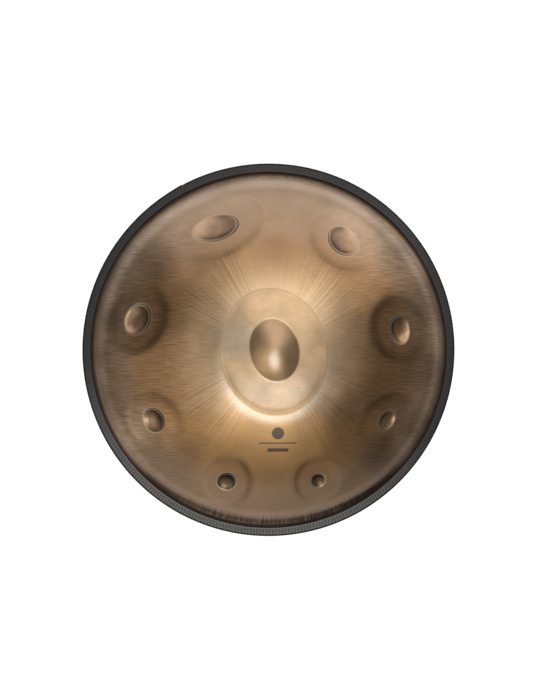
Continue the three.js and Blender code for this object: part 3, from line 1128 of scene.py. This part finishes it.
def hammered_bronze():
    """Brushed and heat-tinted steel with painted light and shade, drawn round the notes by the distances
    stored on the mesh.
    """
    p = Paint("bronzed_steel_hammered", 1, 0.3)
    names = ("ding_field", "ding_bowl", "ring_field", "ring_bowl", "ring_dish", "ring_side")
    notes = {name: p.stored(name) for name in names}
    blotch = p.noise(p.place, 11, 3)
    patch = p.noise(p.place, 34, 3)
    wide, fine = brushed(p)
    sheet = p.times(
        p.fade(notes["ring_bowl"], -1, 1),
        p.fade(notes["ding_bowl"], -1, 1, 0.3, 1.0),
        p.fade(p.radius, 248, 243),
    )
    streaks = fanned(p, notes["ding_field"])
    lines = p.add(p.times(wide, 0.28), p.times(fine, 0.16))
    colour = p.shaded(dome_tint_and_painted_light(p, blotch), p.add(1.0, p.times(patch, 0.05)))
    colour = notes_tint_and_painted_light(p, notes, colour)
    colour = p.shaded(colour, p.add(1.0, p.times(lines, sheet), p.times(streaks, 0.27)))
    colour = p.shaded(colour, note_shading(p, notes, patch, blotch, p.noise(p.place, 90, 3)))
    # painted highlights: thin bright lines on the rounded edges of the ring bowls and the middle dome, and
    # along each dimple's inner dish on the side away from its bright side, weaker on the top notes
    ring = p.line(notes["ring_bowl"], 0.3, 1.1)
    ring = p.add(ring, p.line(notes["ding_bowl"], 0.8, 1.3))
    dish = p.times(
        p.line(notes["ring_dish"], 0.4, 1.5),
        p.fade(notes["ring_bowl"], -1.2, -3),
        p.fade(notes["ring_side"], 0.5, -0.2),
    )
    edges = p.times(p.add(p.times(ring, 0.45), p.times(dish, 0.7)), p.fade(p.y, 100, 150, 1.0, 0.6))
    colour = p.mix(edges, colour, GLINT)
    colour = rooted(p, colour)
    colour = p.mix(mark_mask(p), colour, PRINT)
    at_root = p.fade(p.radius, 245, 249)
    in_dome = p.fade(notes["ding_bowl"], 0.0, -3)
    duller = p.times(p.add(at_root, in_dome), 0.12)
    roughness = p.add(0.31, p.times(fine, 0.03), p.times(patch, 0.02), duller)
    height = p.add(p.times(wide, sheet, 0.010), p.times(fine, 0.005), p.times(streaks, 0.012))
    return p.finish(colour, roughness, height)


def rooted(p, colour):
    """Dark and light ticks across the root of the dome, most of them at the player's side, over painted shade
    that deepens the root band in the middle of the player's side.
    """
    ticks = radial_noise(p, 150, 20, 2.0)
    player = p.times(p.fade(p.y, -190, -235), p.fade(p.radius, 234.5, 240))
    opposite = p.times(p.fade(p.y, 225, 240, 0.0, 0.6), p.fade(p.radius, 246.5, 249))
    inside = p.fade(p.radius, 252, 248.5)
    where = p.times(p.add(player, opposite), inside)
    # painted shade: the root band reaches further in at the middle of the player's side
    middle = p.times(p.fade(p.toward(PLAYER_SIDE), 0.88, 1.0), p.fade(p.radius, 236, 240), inside)
    colour = p.mix(p.times(middle, 0.30), colour, BISTRE)
    colour = p.mix(p.times(where, p.fade(ticks, -0.6, 0.8), 0.32), colour, TAN)
    return p.mix(p.times(where, p.fade(ticks, 0.0, -0.7), 0.42), colour, ROOT_SHADE)


MARK_DISC = (6.7, -112.5, 8.5)          # x, y, radius
MARK_BARS = [(6.9, -126.4, 26, 0.9), (7.2, -136.3, 14.5, 2.4)]
MARK_EDGE = 0.5


def mark_mask(p):
    """A plain disc over two plain bars, printed on the shell between the middle and the lower notes."""
    x, y, size = MARK_DISC
    total = p.fade(p.distance_to(x, y), size + MARK_EDGE, size - MARK_EDGE)
    for x, y, half_width, half_height in MARK_BARS:
        dx = p.size(p.math("SUBTRACT", p.x, x))
        dy = p.size(p.math("SUBTRACT", p.y, y))
        wide = p.fade(dx, half_width + MARK_EDGE, half_width - MARK_EDGE)
        total = p.add(total, p.times(wide, p.fade(dy, half_height + MARK_EDGE, half_height - MARK_EDGE)))
    return p.times(total, 0.9)


def spun_bronze():
    """The lower shell: the same brown steel with fine rings from spinning and an uneven heat tint."""
    p = Paint("bronzed_steel_spun", 1, 0.3)
    blotch = p.noise(p.place, 10, 3)
    colour = p.mix(p.fade(blotch, -1.0, 1.0), BROWN, WARM)
    rings = p.noise(p.node("ShaderNodeCombineXYZ", {0: p.radius, 1: p.z}).outputs[0], 0.7, 1.0)
    fleck = p.noise(p.place, 160, 2)
    colour = p.shaded(colour, p.add(0.95, p.times(rings, 0.05), p.times(fleck, 0.03)))
    return p.finish(colour, p.add(0.3, p.times(rings, 0.03)), rings, 0.006)


def ribbed_rubber():
    """Black extruded rubber. Dust and painted light grey it, most of all at the player's side, and less in the
    grooves; its edges stay black as painted shade, with painted highlights along them at the player's side.
    """
    p = Paint("trim_rubber_ribbed", 0, 0.42)
    p.shader.inputs["Specular IOR Level"].default_value = 0.35
    bloom = p.noise(p.place, 18, 3)
    grit = p.noise(p.place, 1400, 2)
    player = p.fade(p.toward(PLAYER_SIDE), 0.2, 1.0)
    far = p.fade(p.toward(FAR_SIDE), 0.3, 1.0)
    sunk = p.times(p.fade(p.stored("groove"), 0.0, 0.7), p.add(0.25, p.times(player, 0.22)))
    # painted shade: the face's inner and outer edges stay black
    face = p.times(p.fade(p.radius, 254.9, 255.9), p.fade(p.radius, 265.3, 264.0))
    face_grey = p.times(face, p.math("SUBTRACT", 1.0, sunk))
    # dust, and painted light at the player's side, grey the rubber
    grey = p.mix(player, p.mix(far, RUBBER, THIN_DUST), DUST_AND_LIGHT)
    colour = p.mix(face_grey, BLACK, grey)
    # painted highlights along both edges at the player's side
    edge_highlights = p.add(p.line(p.radius, 256.0, 1.0), p.line(p.radius, 263.7, 1.4))
    edge_highlights = p.times(edge_highlights, player, 0.35)
    colour = p.shaded(colour, p.add(0.97, edge_highlights, p.times(grit, 0.14), p.times(bloom, 0.12)))
    return p.finish(colour, p.add(0.42, p.times(grit, 0.04)), grit, 0.02)


def cured_adhesive():
    """Dark amber adhesive, slightly cloudy and uneven."""
    p = Paint("cured_adhesive_bead", 0, 0.4)
    cloud = p.noise(p.place, 60, 3)
    colour = p.mix(p.fade(cloud, -1.0, 1.0), GLUE, GLUE_PALE)
    return p.finish(colour, p.add(0.4, p.times(cloud, 0.06)), cloud, 0.1)


def rolled_steel():
    """Bright cold-rolled strip with rolling lines along it."""
    p = Paint("carrier_steel_rolled", 1, 0.35)
    lines = p.noise(p.node("ShaderNodeCombineXYZ", {0: p.radius, 1: p.z}).outputs[0], 2.5, 1.0)
    fleck = p.noise(p.place, 200, 2)
    colour = p.shaded(STRIP, p.add(1.0, p.times(lines, 0.06), p.times(fleck, 0.05)))
    return p.finish(colour, p.add(0.35, p.times(lines, 0.05)), lines, 0.004)


def pale_studio():
    """White floor and backdrop, bright enough by themselves to stay free of hard shadows."""
    p = Paint("pale_studio", 0, 0.9)
    p.shader.inputs["Emission Color"].default_value = (1, 1, 1, 1)
    p.shader.inputs["Emission Strength"].default_value = STUDIO_GLOW
    grain = p.fade(p.noise(p.place, 3, 2), -1.0, 1.0)
    return p.finish(p.mix(grain, STUDIO, STUDIO_PALE))


# ------------------------ assembly
def add(piece, node, material):
    piece.data.materials.append(material)
    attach(piece, "root")
    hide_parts(node)
    return piece


bpy.context.scene.view_settings.view_transform = "Standard"
camera()
add(top_shell(), "top_shell", hammered_bronze())
add(bottom_shell(), "bottom_shell", spun_bronze())
add(flange_adhesive(), "flange_adhesive", cured_adhesive())
add(edge_trim(), "edge_trim", ribbed_rubber())
add(trim_carrier(), "trim_carrier", rolled_steel())
studio = pale_studio()
for surface in (plain_floor(), backdrop()):
    surface.data.materials.append(studio)
world()
for light, (zenith, azimuth, wide, high, radiance) in LIGHTS.items():
    soft_light(light, zenith, azimuth, wide, high, radiance)
